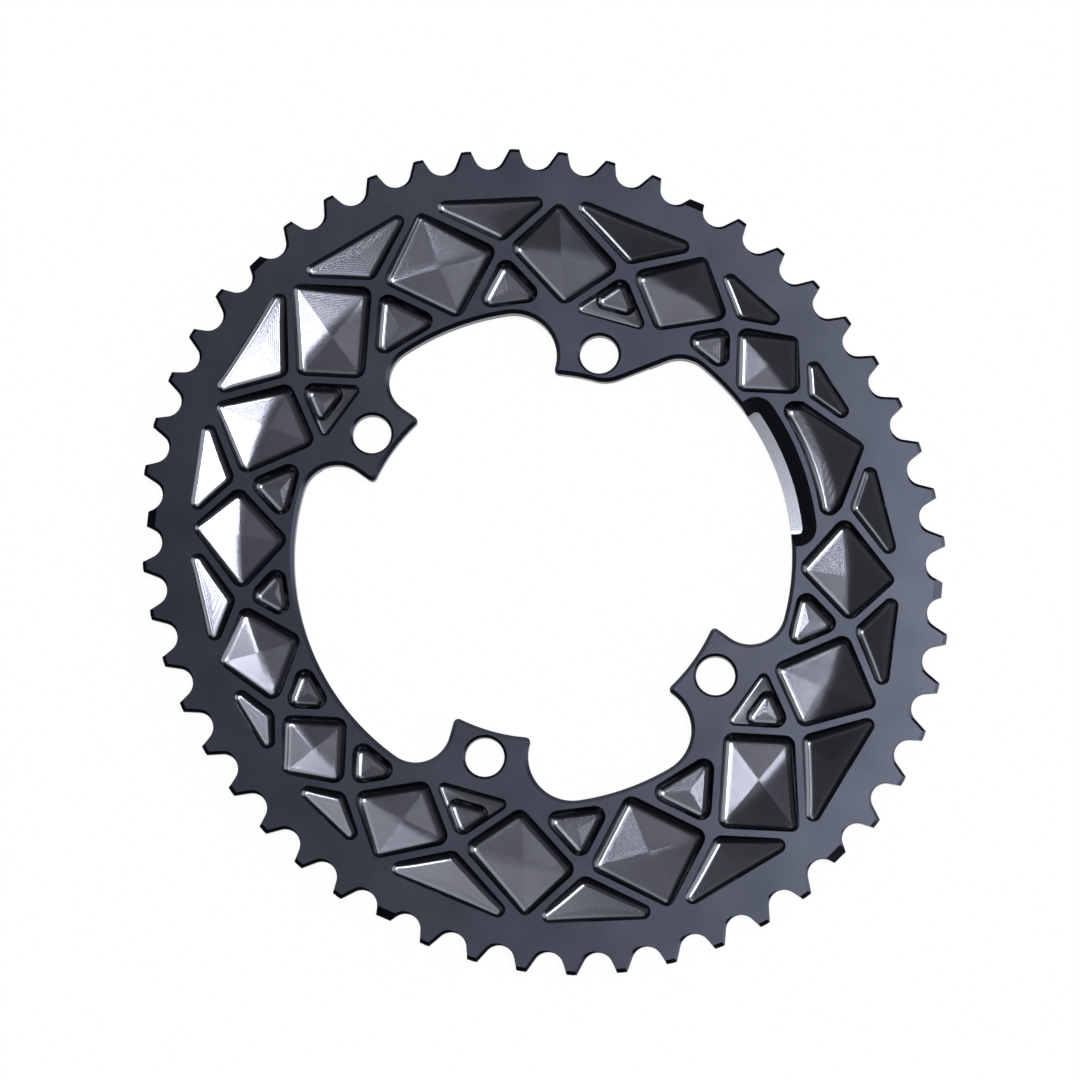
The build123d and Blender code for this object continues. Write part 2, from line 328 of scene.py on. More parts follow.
# %% One gullet
TOOTH_THICKNESS = 2.1 * MM
TOOTH_BACK = FRONT - TOOTH_THICKNESS
TOOTH_LAND = 5.2 * MM
LAND_RISE = 0.2 * MM
TIP_BEVEL = 1.0 * MM
PLAIN_BEVEL = 0.12 * MM
FLANK_BEVEL = 0.8 * MM
BACK_BEVEL = 0.5 * MM
BEVEL_RISE = 0.6
BEVEL_CEILING = TOOTH_THICKNESS / 3


def land_line(count):
    """Places along the inner edge of the tooth band, in a shallow arc below a gullet."""
    half_turn = math.pi / TEETH
    drop = TOOTH_LAND - CHAIN_PITCH / 2 * math.sin(half_turn)
    half = CHAIN_PITCH / 2 * math.cos(half_turn) - drop * math.tan(half_turn)
    shares = [2 * i / (count - 1) - 1 for i in range(count)]
    return [complex(half * share, LAND_RISE * (1 - share**2) - TOOTH_LAND) for share in shares]


def bevel_drop(plain, bevelled):
    """Height lost at each point of an edge by its bevel."""
    return [min(BEVEL_RISE * abs(a - b), BEVEL_CEILING) for a, b in zip(plain, bevelled)]


def gullet_rows():
    """Rows of points from the front land over the tooth edge to the back land."""
    plain = gullet_outline(0, 0, 0)
    front = gullet_outline(TIP_BEVEL, PLAIN_BEVEL, FLANK_BEVEL)
    back = gullet_outline(BACK_BEVEL, PLAIN_BEVEL, PLAIN_BEVEL)
    land = land_line(len(plain))
    front_drop = bevel_drop(plain, front)
    back_drop = bevel_drop(plain, back)
    return [
        [plan_point(p, FRONT) for p in land],
        [plan_point(p, FRONT) for p in front],
        [plan_point(p, FRONT - d) for p, d in zip(plain, front_drop)],
        [plan_point(p, TOOTH_BACK + d) for p, d in zip(plain, back_drop)],
        [plan_point(p, TOOTH_BACK) for p in back],
        [plan_point(p, TOOTH_BACK) for p in land],
    ]


def strip_piece(name, rows, closed=False, caps=()):
    """A piece of quads between rows of points, with caps where they are given."""
    count = len(rows[0])
    faces = []
    for row in range(len(rows) - 1):
        low, high = row * count, (row + 1) * count
        for column in range(count if closed else count - 1):
            after = (column + 1) % count
            faces.append((low + column, low + after, high + after, high + column))
    points = [point for row in rows for point in row]
    return new_piece(name, points, faces=faces + list(caps))


gullet = strip_piece("gullet", gullet_rows())
print("gullet with", len(gullet.data.polygons), "faces")

# %% A tree that repeats a piece on points
def repeat_tree():
    """Tree that puts a piece on each point, turned by the point's own angle, and welds the seams."""
    graph, given = geometry_tree(
        "repeat_on_points",
        [
            ("Unit", "NodeSocketObject"),
            ("Weld", "NodeSocketFloat"),
            ("Finish", "NodeSocketMaterial"),
        ],
    )
    shape = graph.output("Geometry", "GeometryNodeObjectInfo", {}, {"Object": given["Unit"]})
    turn = graph.node("ShaderNodeCombineXYZ", {}, {"Z": graph.attribute("turn")})[0]
    placed = graph.node(
        "GeometryNodeInstanceOnPoints",
        {},
        {"Points": given["Geometry"], "Instance": shape, "Rotation": turn},
    )[0]
    plain = graph.node("GeometryNodeRealizeInstances", {}, {"Geometry": placed})[0]
    welded = graph.node(
        "GeometryNodeMergeByDistance", {}, {"Geometry": plain, "Distance": given["Weld"]}
    )[0]
    return finish_tree(graph, welded, given["Finish"])


def repeat(name, unit, places, turns, weld):
    """A piece repeated at places in the plan."""
    piece = new_piece(name, [plan_point(place, 0) for place in places])
    turn = piece.data.attributes.new("turn", "FLOAT", "POINT")
    turn.data.foreach_set("value", turns)
    run_tree(piece, REPEAT, {"Unit": unit, "Weld": weld, "Finish": SATIN})
    bpy.data.objects.remove(unit)
    return piece


REPEAT = repeat_tree()
print("repeating tree with", len(REPEAT.nodes), "nodes")

# %% Tooth band
TOOTH_WELD = 0.12 * MM


def make_teeth():
    """The tooth band, with every gullet square to the chord between its neighbours."""
    rollers = [on_oval(MEAN_RADIUS, angle) for angle in ROLLER_ANGLES]
    turns = []
    for index in range(TEETH):
        along = rollers[(index + 1) % TEETH] - rollers[index - 1]
        turns.append(cmath.phase(along) - math.pi)
    return repeat("teeth", gullet, rollers, turns, TOOTH_WELD)


teeth = make_teeth()
print("tooth band with", len(teeth.data.polygons), "faces")

# %% [markdown]
# ## Bolt holes
#
# Four bolts hold the ring to the crank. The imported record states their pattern, so the holes take
# their places from it. Each is a plain bore with a chamfer at the front. Boolean cuts would do, but
# the tree that repeats the gullets is at hand and repeats a bore four times.

# %% Bolt holes
BOLTS = next(mount for mount in frame["record"]["mounts"] if mount["name"] == "arm_bolts")["dims"]
BOLT_X = BOLTS["spacing_x_mm"] * MM / 2
BOLT_Y = BOLTS["spacing_y_mm"] * MM / 2
BOLT_HOLE_RADIUS = BOLTS["hole_r_mm"] * MM
BOLT_CHAMFER = 0.7 * MM
HOLE_STEPS = 64


def rectangle(half_x, half_y):
    """Corners of a rectangle about the origin, anticlockwise from the upper right."""
    return [complex(half_x * x, half_y * y) for x, y in ((1, 1), (-1, 1), (-1, -1), (1, -1))]


BOLT_PLACES = rectangle(BOLT_X, BOLT_Y)


def make_bolt_holes():
    """Four chamfered bores."""
    section = [
        (BOLT_HOLE_RADIUS + BOLT_CHAMFER, FRONT),
        (BOLT_HOLE_RADIUS, FRONT - BOLT_CHAMFER),
        (BOLT_HOLE_RADIUS, 0),
    ]
    turns = [math.tau * step / HOLE_STEPS for step in range(HOLE_STEPS)]
    rows = []
    for radius, height in section:
        rows.append([plan_point(cmath.rect(radius, turn), height) for turn in turns])
    unit = strip_piece("bolt_hole", rows, closed=True)
    return repeat("bolt_holes", unit, BOLT_PLACES, [0.0] * len(BOLT_PLACES), TOOTH_WELD)


bolt_holes = make_bolt_holes()
print("bolt holes with", len(bolt_holes.data.polygons), "faces")

# %% [markdown]
# ## The central opening
#
# The opening is a circle with four bolt tabs left standing in it. Each tab ends on an arc about the
# crank axis and runs into the ring with wide root arcs. One tab is trimmed by a slanted flank. A
# Bevel modifier on the corners would give arcs too, but not with a radius for each, so the arcs are
# worked out from the lines and circles that they touch.

# %% Outline of the opening
INNER_RADIUS = 64.8 * MM
OPENING_BEVEL = 1.0 * MM
BOLT_RADIUS = abs(BOLT_PLACES[0])
TAB_REACH = 7.0 * MM
TAB_END = BOLT_RADIUS - TAB_REACH
TAB_HALF_WIDTH = 20.5 * MM / 2
TAB_CORNER = 1.2 * MM
ROOT = 9.0 * MM
WIDE_ROOT = 11.5 * MM
TAB_ROOTS = ((ROOT, WIDE_ROOT), (ROOT, ROOT), (ROOT, WIDE_ROOT), (WIDE_ROOT, ROOT))
TRIMMED_TAB = 0
TRIM_OFFSET = 4.2 * MM
TRIM_ANGLE = math.radians(37)
TRIM_CORNER = 10.0 * MM
ARC_STEP = 0.8 * MM


def arc(centre, start, end):
    """Places along an arc from start to end, the shorter way round its centre."""
    turn = cmath.phase((end - centre) / (start - centre))
    count = max(2, round(abs(turn) * abs(start - centre) / ARC_STEP))
    return [centre + (start - centre) * cmath.rect(1, turn * i / count) for i in range(count + 1)]


def touching_arc(place, way, side, radius, distance):
    """Centre of an arc that touches a line on one side and lies at a distance from the crank axis."""
    base = place + side * radius
    along = (base.conjugate() * way).real
    reach = math.sqrt(along**2 - abs(base) ** 2 + distance**2)
    return base + way * (reach - along)


def flank(place, way, hand, corner, root_radius):
    """Places from a tab's end arc round its corner, along its flank and round its root."""
    side = way * 1j * hand
    tip = touching_arc(place, way, -side, corner, TAB_END + corner)
    root = touching_arc(place, way, side, root_radius, INNER_RADIUS - root_radius)
    end_arc = tip * TAB_END / abs(tip)
    points = arc(tip, end_arc, tip + side * corner)
    return points + arc(root, root - side * root_radius, root * INNER_RADIUS / abs(root))


def tab_outline(index):
    """Places round one tab, anticlockwise about the crank axis."""
    low_root, high_root = TAB_ROOTS[index]
    end = math.sqrt(TAB_END**2 - TAB_HALF_WIDTH**2)
    low = flank(complex(end, -TAB_HALF_WIDTH), 1 + 0j, -1, TAB_CORNER, low_root)
    if index == TRIMMED_TAB:
        trim_way = cmath.rect(1, TRIM_ANGLE - math.pi / 2)
        low = flank(complex(TAB_END, -TRIM_OFFSET), trim_way, -1, TRIM_CORNER, low_root)
    high = flank(complex(end, TAB_HALF_WIDTH), 1 + 0j, 1, TAB_CORNER, high_root)
    points = low[::-1] + arc(0j, low[0], high[0])[1:-1] + high
    return [point * cmath.rect(1, cmath.phase(BOLT_PLACES[index])) for point in points]


def opening_outline():
    """Places round the whole opening."""
    points = []
    for index in range(len(BOLT_PLACES)):
        points += tab_outline(index)
    closed = []
    for here, after in zip(points, points[1:] + points[:1]):
        closed.append(here)
        if abs(after - here) > 2 * ARC_STEP and min(abs(here), abs(after)) > INNER_RADIUS - OPENING_BEVEL:
            closed += arc(0j, here, after)[1:-1]
    return closed


print("opening outline with", len(opening_outline()), "points")

# %% Wall of the opening
def outward_ways(points):
    """Directions into the metal at each place of an anticlockwise outline round a void."""
    ways = []
    for before, after in zip(points[-1:] + points[:-1], points[1:] + points[:1]):
        ways.append((after - before) / abs(after - before) * -1j)
    return ways


def make_opening():
    """Bevel and wall of the opening."""
    points = opening_outline()
    ways = outward_ways(points)
    rows = [
        [plan_point(p + OPENING_BEVEL * w, FRONT) for p, w in zip(points, ways)],
        [plan_point(p, FRONT - OPENING_BEVEL) for p in points],
        [plan_point(p, 0) for p in points],
    ]
    return strip_piece("opening", rows, closed=True)


opening = make_opening()
print("opening with", len(opening.data.polygons), "faces")

# %% [markdown]
# ## The rib net
#
# Straight ribs cross eight times in each half turn, and the two halves are alike. They leave a
# diamond in each bay, a triangle at the rim over each crossing and a smaller one at the opening
# under it. The ribs could be modelled as bars, but on the real ring they are what the cutter left.
# So the pockets are the pieces here: each is found from the middle lines of its ribs, moved in by
# half a rib, with round corners. The crossings below were measured, as angle, radius and lean.

# %% Rib crossings
CROSSING_DEGREES = (11.5, 31.3, 54.4, 77.9, 101.9, 125.1, 146.6, 168.9)
CROSSING_RADII = (79.6, 79.2, 79.0, 82.8, 84.6, 80.8, 81.7, 79.4)
OUTER_LEANS = (-0.3, -0.7, 1.8, 0.3, -0.6, -0.3, -1.8, -1.0)
INNER_LEANS = (-0.5, 1.2, -0.2, 0.0, 2.2, -1.8, -0.7, -0.5)
HALF_BAYS = len(CROSSING_DEGREES)
BAYS = 2 * HALF_BAYS
RIM_NODE = 10.6 * MM
ARM_HALF_ANGLE = math.radians(18)


def crossing_angle(index):
    """Angle of a rib crossing, counted on past a full turn."""
    half_turns, place = divmod(index, HALF_BAYS)
    return math.radians(CROSSING_DEGREES[place]) + math.pi * half_turns


def bay_angle(index):
    """Angle of the middle of the bay that follows a crossing."""
    return (crossing_angle(index) + crossing_angle(index + 1)) / 2


def over_arm(angle):
    """Whether an angle lies within the crank arm relief."""
    return abs(cmath.phase(cmath.rect(1, angle))) < ARM_HALF_ANGLE


def crossing(index):
    """Place of a rib crossing."""
    return cmath.rect(CROSSING_RADII[index % HALF_BAYS] * MM, crossing_angle(index))


def outer_node(index):
    """Place at the rim where the two ribs round a bay meet."""
    angle = bay_angle(index) + math.radians(OUTER_LEANS[index % HALF_BAYS])
    return cmath.rect(pitch_radius(angle) - RIM_NODE, angle)


def inner_node(index):
    """Place at the opening where the two ribs round a bay meet."""
    return cmath.rect(INNER_RADIUS, bay_angle(index) + math.radians(INNER_LEANS[index % HALF_BAYS]))


print(BAYS, "bays between rib crossings")

# %% Corners of the pockets
RIB_HALF_WIDTH = 1.7 * MM / 2
RIM_WIDTH = 11.4 * MM
INNER_RIM = 2.3 * MM
RIM_CORNER = 2.0 * MM
CHORD_HALF_ANGLE = math.radians(5.6)


def chord(angle, radius_at):
    """Two places on a curve, either side of an angle."""
    ends = (angle - CHORD_HALF_ANGLE, angle + CHORD_HALF_ANGLE)
    return [cmath.rect(radius_at(a), a) for a in ends]


def inset_lines(sides):
    """Lines along sides that run anticlockwise, each moved in by its own inset."""
    lines = []
    for start, end, inset in sides:
        way = (end - start) / abs(end - start)
        lines.append((start + 1j * way * inset, way))
    return lines


def corners_inside(sides):
    """Corners of a plan whose sides are moved in."""
    lines = inset_lines(sides)
    return [meet(lines[i - 1], lines[i]) for i in range(len(lines))]


def ribs(*nodes):
    """Sides of a pocket along the middle lines of its ribs, from node to node."""
    return [(start, end, RIB_HALF_WIDTH) for start, end in zip(nodes, nodes[1:])]


def diamond(index):
    """Corners of the pocket of one bay, from the rim round to the far side, with their rounding."""
    ring = [outer_node(index), crossing(index + 1), inner_node(index), crossing(index)]
    return corners_inside(ribs(*ring, ring[0])), [RIM_CORNER, None, None, None]


def outer_triangle(index):
    """Corners of the pocket between a crossing and the rim."""
    place = crossing(index)
    start, end = chord(crossing_angle(index), lambda a: pitch_radius(a) - RIM_WIDTH)
    sides = ribs(place, outer_node(index - 1)) + [(start, end, 0)] + ribs(outer_node(index), place)
    return corners_inside(sides), [None, RIM_CORNER, RIM_CORNER]


def inner_triangle(index):
    """Corners of the pocket between a crossing and the opening."""
    place = crossing(index)
    end, start = chord(crossing_angle(index), lambda a: INNER_RADIUS + INNER_RIM)
    sides = ribs(place, inner_node(index)) + [(start, end, 0)] + ribs(inner_node(index - 1), place)
    return corners_inside(sides), [None, None, None]


print("first diamond has", len(diamond(0)[0]), "corners")

# %% Pocket over the crank arm
POCKET_CORNER = 2.8 * MM
SIDE_STEP = 1.3 * MM
ARM_RIB_RADIUS = 72.8 * MM


def setback(before, here, after):
    """Length of side that a rounding of radius 1 takes up at a corner."""
    return 1 / math.tan(abs(cmath.phase((before - here) / (after - here))) / 2)


def on_circle(line, radius):
    """Outer place where a line crosses a circle about the crank axis."""
    place, way = line
    along = (place.conjugate() * way).real
    reach = math.sqrt(along**2 - abs(place) ** 2 + radius**2)
    return max(place + way * (reach - along), place - way * (reach + along), key=lambda p: p.real)


def arm_pocket(index):
    """Corners of the wide pocket over the crank arm, with a curved side along the relief."""
    low_nodes = [inner_node(index - 1), crossing(index)]
    high_nodes = [crossing(index + 1), inner_node(index + 1)]
    lines = inset_lines(ribs(*low_nodes, outer_node(index), *high_nodes))
    low = on_circle(lines[0], ARM_RIB_RADIUS)
    high = on_circle(lines[3], ARM_RIB_RADIUS)
    knee = meet(lines[2], lines[3])
    whole = arc(0j, high, low)
    taken = POCKET_CORNER * setback(knee, high, whole[1]) + SIDE_STEP
    curve = [place for place in whole if min(abs(place - high), abs(place - low)) > taken]
    corners = [meet(lines[1], lines[2]), knee, high] + curve + [low, meet(lines[0], lines[1])]
    return corners, [RIM_CORNER, 0, None] + [0] * len(curve) + [None, 0]


print("rib along the relief at", round(ARM_RIB_RADIUS / MM, 1), "mm")

# %% Round corners
CORNER_SHARE = 0.95
CORNER_STEPS = 8
SHORT_STEP = 0.1 * MM


def corner_room(corners):
    """Largest rounding that leaves some of every side straight."""
    count = len(corners)
    setbacks = [setback(corners[i - 1], corners[i], corners[(i + 1) % count]) for i in range(count)]
    spans = []
    for i in range(count):
        after = (i + 1) % count
        spans.append(abs(corners[after] - corners[i]) / (setbacks[i] + setbacks[after]))
    return CORNER_SHARE * min(spans)


def rounded(corners, radii):
    """Places round a plan with round corners, each with the direction into the pocket."""
    count = len(corners)
    outline = []
    for i in range(count):
        here = corners[i]
        before = (corners[i - 1] - here) / abs(corners[i - 1] - here)
        after = (corners[(i + 1) % count] - here) / abs(corners[(i + 1) % count] - here)
        if not radii[i]:
            way = (after - before) * 1j
            outline.append((here, way / abs(way)))
            continue
        half = abs(cmath.phase(before / after)) / 2
        bisector = (before + after) / abs(before + after)
        centre = here + bisector * radii[i] / math.sin(half)
        sweep = math.pi - 2 * half
        start = before * radii[i] / math.tan(half) + here
        for step in range(CORNER_STEPS + 1):
            place = centre + (start - centre) * cmath.rect(1, sweep * step / CORNER_STEPS)
            outline.append((place, (centre - place) / radii[i]))
    full = []
    for (here, way), (after, _) in zip(outline, outline[1:] + outline[:1]):
        if abs(after - here) < SHORT_STEP:
            continue
        full.append((here, way))
        parts = round(abs(after - here) / SIDE_STEP)
        side = (after - here) / abs(after - here) * 1j
        full += [(here + (after - here) * i / parts, side) for i in range(1, parts)]
    return full


print("corners get up to", CORNER_STEPS, "steps")

# %% Plan of the pockets
def pocket_plans():
    """Outline and middle of every pocket."""
    plans = []
    for index in range(BAYS):
        bay = arm_pocket if over_arm(bay_angle(index)) else diamond
        shapes = [bay(index), outer_triangle(index)]
        if not over_arm(crossing_angle(index)):
            shapes.append(inner_triangle(index))
        for corners, radii in shapes:
            room = POCKET_CORNER if 0 in radii else min(POCKET_CORNER, corner_room(corners))
            radii = [room if radius is None else min(radius, room) for radius in radii]
            main = [c for c, r in zip(corners, radii) if r]
            middle = sum(main) / len(main)
            if len(corners) == 4:
                middle = meet((corners[0], corners[2] - corners[0]), (corners[1], corners[3] - corners[1]))
            plans.append((rounded(corners, radii), middle))
    return plans


POCKETS = pocket_plans()
print(len(POCKETS), "pockets with", sum(len(outline) for outline, _ in POCKETS), "places on their edges")

# %% [markdown]
# ## Pocket walls and floors
#
# A cutter with a round nose leaves a steep wall with a cove at its foot. The floor is flat near the
# opening and climbs towards the rim, with a soft valley between, so flat facets meet in each pocket.
# The pockets could be cut one by one, but they all follow this rule, and a rule suits Geometry
# Nodes. The tree sweeps a row of rings along every outline and then sets each ring's place.

# %% Depth of the floor
VALLEY_BLEND = 0.12
VALLEY_SHIFT = -0.8 * MM
FLOOR_MARGIN = 1.9 * MM
FLOOR_EDGE = INNER_RADIUS + INNER_RIM + FLOOR_MARGIN


def floor_depth(graph, given, place):
    """Depth of the pocket floor at a place, from its radius and direction."""
    x, y, _ = graph.node("ShaderNodeSeparateXYZ", {}, {0: place})
    radius = (x * x + y * y).math("SQRT")
    angle = y.math("ARCTAN2", x)
    swell = ((angle - OVAL_AXIS) * 2).math("COSINE") * OVALITY + 1
    rim = swell * MEAN_RADIUS - RIM_WIDTH
    valley = (rim + FLOOR_EDGE) * 0.5 + VALLEY_SHIFT
    rise = ((radius - valley) / (rim - valley)).math("SMOOTH_MAX", 0.0, VALLEY_BLEND)
    return given["Depth"] - (given["Depth"] - given["Rim Depth"]) * rise


print("flat floors start at", round(FLOOR_EDGE / MM, 1), "mm from the crank axis")

# %% Pocket tree
WALL_SLOPE = math.radians(80)
WALL_RINGS = 7
FLOOR_RINGS = 12
TINY = 0.005 * MM


def pocket_tree():
    """Tree that turns pocket outlines into coved walls and sloping floors."""
    graph, given = geometry_tree(
        "milled_pockets",
        [
            ("Depth", "NodeSocketFloat"),
            ("Rim Depth", "NodeSocketFloat"),
            ("Cove", "NodeSocketFloat"),
            ("Finish", "NodeSocketMaterial"),
        ],
    )
    rails = graph.node("GeometryNodeMeshToCurve", {}, {"Mesh": given["Geometry"]})[0]
    position = graph.node("GeometryNodeInputPosition")[0]
    rails = graph.store(rails, "edge", position, "FLOAT_VECTOR")
    line = graph.node("GeometryNodeCurvePrimitiveLine")[0]
    rings = graph.node(
        "GeometryNodeResampleCurve", {}, {"Curve": line, "Count": WALL_RINGS + FLOOR_RINGS + 1}
    )[0]
    index = graph.node("GeometryNodeInputIndex")[0]
    rings = graph.store(rings, "ring", index)
    shell = graph.node("GeometryNodeCurveToMesh", {}, {"Curve": rails, "Profile Curve": rings})[0]

    edge = graph.attribute("edge", "FLOAT_VECTOR")
    inward = graph.attribute("inward", "FLOAT_VECTOR")
    middle = graph.attribute("middle", "FLOAT_VECTOR")
    ring = graph.attribute("ring")
    cove = given["Cove"]

    def moved_in(distance):
        """The edge, moved into the pocket."""
        step = graph.vector_math("SCALE", inward, distance)
        return graph.vector_math("ADD", edge, step)

    def wall(depth):
        """Steepest slope of a wall of some depth, and the width of its straight part."""
        curved = depth.math("MINIMUM", cove * (1 - math.cos(WALL_SLOPE)))
        steepest = (1 - curved / cove).math("ARCCOSINE")
        return steepest, (depth - curved) / math.tan(WALL_SLOPE)

    first_depth = floor_depth(graph, given, moved_in(cove)).math("MAXIMUM", TINY)
    first_slope, first_run = wall(first_depth)
    first_foot = moved_in(first_run + cove * first_slope.math("SINE"))
    depth = floor_depth(graph, given, first_foot).math("MAXIMUM", TINY)
    steepest, run = wall(depth)
    down = ((ring - 1) / (WALL_RINGS - 1)).math("MAXIMUM", 0.0).math("MINIMUM", 1.0)
    slope = steepest * (1 - down)
    below = ring.math("GREATER_THAN", 0.5)
    across = (run + cove * (steepest.math("SINE") - slope.math("SINE"))) * below
    wall_drop = (depth - cove * (1 - slope.math("COSINE"))) * below

    inside = ((ring - WALL_RINGS) / FLOOR_RINGS).math("MAXIMUM", 0.0)
    foot = moved_in(across)
    to_middle = graph.vector_math("SUBTRACT", middle, foot)
    place = graph.vector_math("ADD", foot, graph.vector_math("SCALE", to_middle, inside))
    on_floor = inside.math("GREATER_THAN", 0.0)
    drop = wall_drop * (1 - on_floor) + floor_depth(graph, given, place) * on_floor
    x, y, _ = graph.node("ShaderNodeSeparateXYZ", {}, {0: place})
    spot = graph.node("ShaderNodeCombineXYZ", {}, {0: x, 1: y, 2: drop * -1 + FRONT})[0]
    shell = graph.store(shell, "pass", graph.attribute("passes") * inside)
    shell = graph.node("GeometryNodeSetPosition", {}, {"Geometry": shell, "Position": spot})[0]
    shell = graph.node("GeometryNodeMergeByDistance", {}, {"Geometry": shell, "Distance": TINY})[0]
    return finish_tree(graph, shell, given["Finish"])


POCKET_TREE = pocket_tree()
print("pocket tree with", len(POCKET_TREE.nodes), "nodes")

# %% Every pocket
POCKET_DEPTH = 3.2 * MM
RIM_DEPTH = 0.5 * MM
COVE_RADIUS = 2.1 * MM
PASS_WIDTH = 0.28 * MM


def make_pockets():
    """Every pocket as one mesh."""
    points, edges, inward, middles, passes = [], [], [], [], []
    for outline, middle in POCKETS:
        first = len(points)
        reach = min(abs(place - middle) for place, _ in outline) - COVE_RADIUS
        for number, (place, way) in enumerate(outline):
            points.append(plan_point(place, FRONT))
            edges.append((first + number, first + (number + 1) % len(outline)))
            inward += [way.real, way.imag, 0]
            middles += [middle.real, middle.imag, FRONT]
            passes.append(max(2, round(reach / PASS_WIDTH)))
    piece = new_piece("pockets", points, edges=edges)
    for name, values in (("inward", inward), ("middle", middles)):
        layer = piece.data.attributes.new(name, "FLOAT_VECTOR", "POINT")
        layer.data.foreach_set("vector", values)
    layer = piece.data.attributes.new("passes", "FLOAT", "POINT")
    layer.data.foreach_set("value", passes)
    sizes = {"Depth": POCKET_DEPTH, "Rim Depth": RIM_DEPTH, "Cove": COVE_RADIUS, "Finish": MILLED}
    run_tree(piece, POCKET_TREE, sizes)
    return piece


pockets = make_pockets()
print("pockets with", len(pockets.data.polygons), "faces")

# %% [markdown]
# ## The flat faces
#
# The edges that are still open now are the edges of the front face and of the back. One large face
# with many holes would be filled badly, so a Delaunay triangulation fills the plan between them. The
# back is flat where the ring lies and slopes up to the teeth, so two circles are creases there.

# %% Filling a plan
SNAP = 0.002 * MM
PLAN_SNAP = SNAP / 100


def join_pieces(name, pieces):
    """One mesh from several, with the finishes in a fixed order."""
    joined = bmesh.new()
    for piece in pieces:
        mesh = piece.data
        milled = mesh.materials and mesh.materials[0] == MILLED
        for polygon in mesh.polygons:
            polygon.material_index = MILLED_SLOT if milled else SATIN_SLOT
        joined.from_mesh(mesh)
        bpy.data.objects.remove(piece)
    ring = new_piece(name, [])
    ring.data.materials.append(SATIN)
    ring.data.materials.append(MILLED)
    return ring, joined


def inside_loops(place, starts, ends):
    """Whether a place is inside closed loops of edges, by counting crossings of a ray."""
    low, high = starts[:, 1], ends[:, 1]
    crosses = (low > place[1]) != (high > place[1])
    run = ends[crosses] - starts[crosses]
    at = starts[crosses][:, 0] + (place[1] - low[crosses]) / run[:, 1] * run[:, 0]
    return np.count_nonzero(at > place[0]) % 2 == 1


def fill_plan(joined, chosen, height_at, extra_places=(), extra_edges=()):
    """Fills the plan between open edges with triangles at the given heights."""
    corners = list({v for edge in chosen for v in edge.verts})
    number = {v: i for i, v in enumerate(corners)}
    flat = [v.co.xy for v in corners] + [Vector((p.real, p.imag)) for p in extra_places]
    loops = [(number[e.verts[0]], number[e.verts[1]]) for e in chosen]
    creases = [(a + len(corners), b + len(corners)) for a, b in extra_edges]
    places, _, triangles, sources, _, _ = delaunay_2d_cdt(flat, loops + creases, [], 0, PLAN_SNAP)
    starts = np.array([flat[a] for a, _ in loops])
    ends = np.array([flat[b] for _, b in loops])
    vertices = []
    for place, source in zip(places, sources):
        known = [i for i in source if i < len(corners)]
        if known:
            vertices.append(corners[known[0]])
        else:
            vertices.append(joined.verts.new((*place, height_at(place.length))))
    for triangle in triangles:
        middle = sum((places[i] for i in triangle), Vector((0, 0))) / 3
        if inside_loops(middle, starts, ends):
            joined.faces.new([vertices[i] for i in triangle])


print("plans are snapped at", SNAP / MM, "mm")

# %% Front and back faces
SHORT_RADIUS = pitch_radius(OVAL_AXIS + math.pi / 2)
BACK_FLAT_RADIUS = SHORT_RADIUS - 17.0 * MM
BACK_SLOPE_RADIUS = SHORT_RADIUS - 6.0 * MM
BACK_STEPS = 180


def back_height(radius):
    """Height of the back face at a radius."""
    share = (radius - BACK_FLAT_RADIUS) / (BACK_SLOPE_RADIUS - BACK_FLAT_RADIUS)
    return TOOTH_BACK * min(max(share, 0), 1)


def make_body():
    """The ring with plain front and back faces."""
    ring, joined = join_pieces("chainring_body", [teeth, bolt_holes, opening, pockets])
    bmesh.ops.remove_doubles(joined, verts=joined.verts, dist=SNAP)
    open_edges = [edge for edge in joined.edges if edge.is_boundary]
    level = (FRONT + TOOTH_BACK) / 2
    front = [edge for edge in open_edges if min(v.co.z for v in edge.verts) > level]
    back = [edge for edge in open_edges if max(v.co.z for v in edge.verts) < level]
    for edge in front:
        for vertex in edge.verts:
            vertex.co.z = FRONT
    fill_plan(joined, front, lambda radius: FRONT)
    circles, creases = [], []
    for radius in (BACK_FLAT_RADIUS, BACK_SLOPE_RADIUS):
        first = len(circles)
        for step in range(BACK_STEPS):
            circles.append(cmath.rect(radius, math.tau * step / BACK_STEPS))
            creases.append((first + step, first + (step + 1) % BACK_STEPS))
    fill_plan(joined, back, back_height, circles, creases)
    bmesh.ops.recalc_face_normals(joined, faces=joined.faces)
    open_left = sum(1 for edge in joined.edges if not edge.is_manifold)
    joined.to_mesh(ring.data)
    joined.free()
    print("body with", len(ring.data.polygons), "faces and", open_left, "open edges")
    return ring


body = make_body()

# %% [markdown]
# ## Last cuts
#
# The remaining cuts cross edges that are already there, as they do on the milling machine. Working
# them into the rows of points would be hard, so they are made with Boolean modifiers. They are the
# relief for the crank arm, with a sloping wall and a ledge that rises a little to the opening, the
# steps beside the tabs, the seats for the arms at the back, the shift ramps behind the teeth, and
# the slanted tips of six short teeth, which let the chain past when it shifts.

# %% Cutter solids
OVERCUT = 0.5 * MM
COVE_RINGS = 7


def closed_cutter(name, rows, slot):
    """A closed solid from rings of points, capped at both ends."""
    count = len(rows[0])
    last = (len(rows) - 1) * count
    caps = [tuple(range(count))[::-1], tuple(range(last, last + count))]
    piece = strip_piece(name, rows, closed=True, caps=caps)
    for finish in (SATIN, MILLED):
        piece.data.materials.append(finish)
    for polygon in piece.data.polygons:
        polygon.material_index = slot
    solid = bmesh.new()
    solid.from_mesh(piece.data)
    bmesh.ops.recalc_face_normals(solid, faces=solid.faces)
    solid.to_mesh(piece.data)
    solid.free()
    return piece


